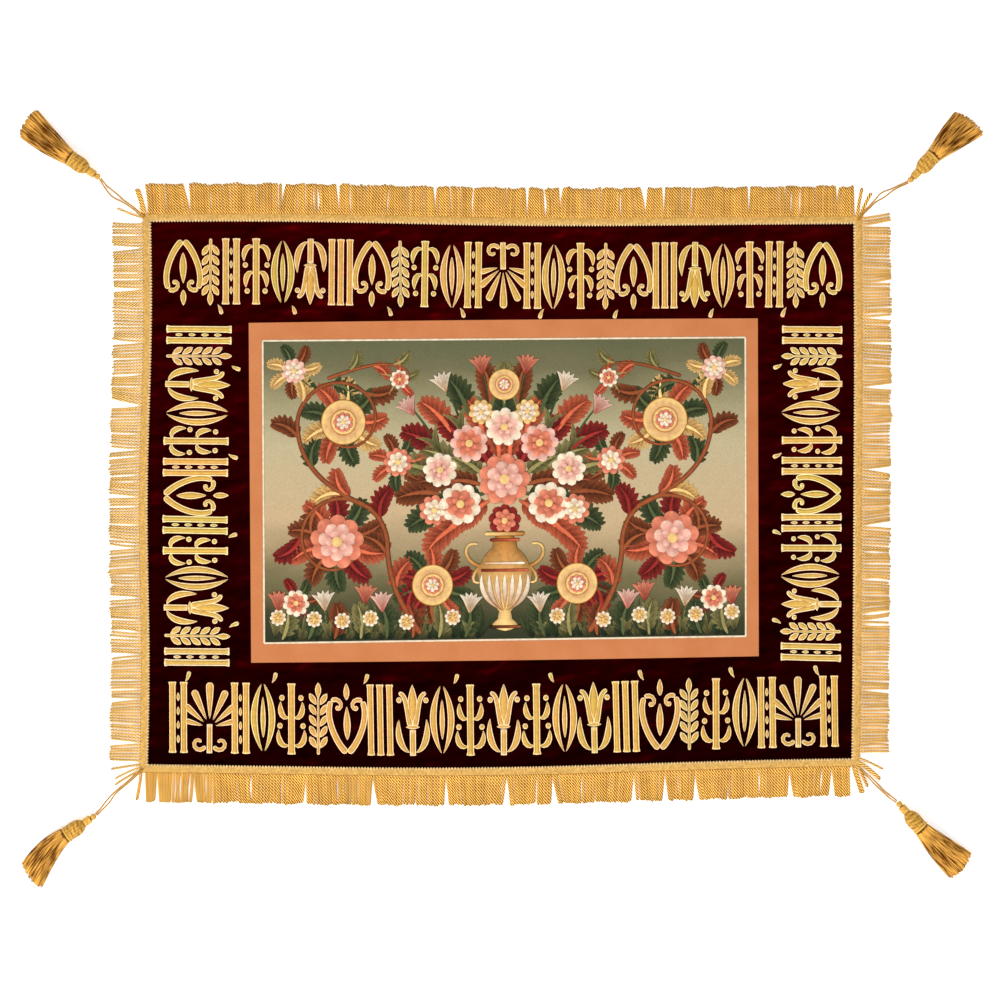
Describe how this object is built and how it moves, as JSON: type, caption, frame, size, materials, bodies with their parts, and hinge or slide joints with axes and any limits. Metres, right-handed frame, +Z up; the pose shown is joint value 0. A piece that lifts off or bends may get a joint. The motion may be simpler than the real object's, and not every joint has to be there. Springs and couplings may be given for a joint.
{
  "type": "embroidered epitaphios",
  "caption": "Embroidered shroud cloth laid flat: dark red velvet with a stiff centre panel, gold fringe on every side and a gold tassel on a doubled cord at each corner.",
  "frame": {"origin": "centre of the whole laid-out cloth and its tassels, on the surface that it lies on", "axes": "+X along the cloth's long side to the right, +Y to its upper edge, +Z up from the surface"},
  "size_m": [0.9649, 0.7783, 0.0171],
  "materials": {
    "velvet": "deep pile, soft sheen",
    "printed_panel": "matt printed canvas",
    "gold_thread": "lustrous rayon thread",
    "gold_cord": "twisted rayon cord"
  },
  "bodies": {
    "root": {"velvet_ground": "velvet", "centre_panel": "printed_panel", "fringe_top": "gold_thread", "fringe_right": "gold_thread", "fringe_bottom": "gold_thread", "fringe_left": "gold_thread", "tassel_top_left": "gold_thread", "tassel_top_right": "gold_thread", "tassel_bottom_left": "gold_thread", "tassel_bottom_right": "gold_thread", "cord_top_left_a": "gold_cord", "cord_top_left_b": "gold_cord", "cord_top_right_a": "gold_cord", "cord_top_right_b": "gold_cord", "cord_bottom_left_a": "gold_cord", "cord_bottom_left_b": "gold_cord", "cord_bottom_right_a": "gold_cord", "cord_bottom_right_b": "gold_cord"}
  },
  "joints": []
}
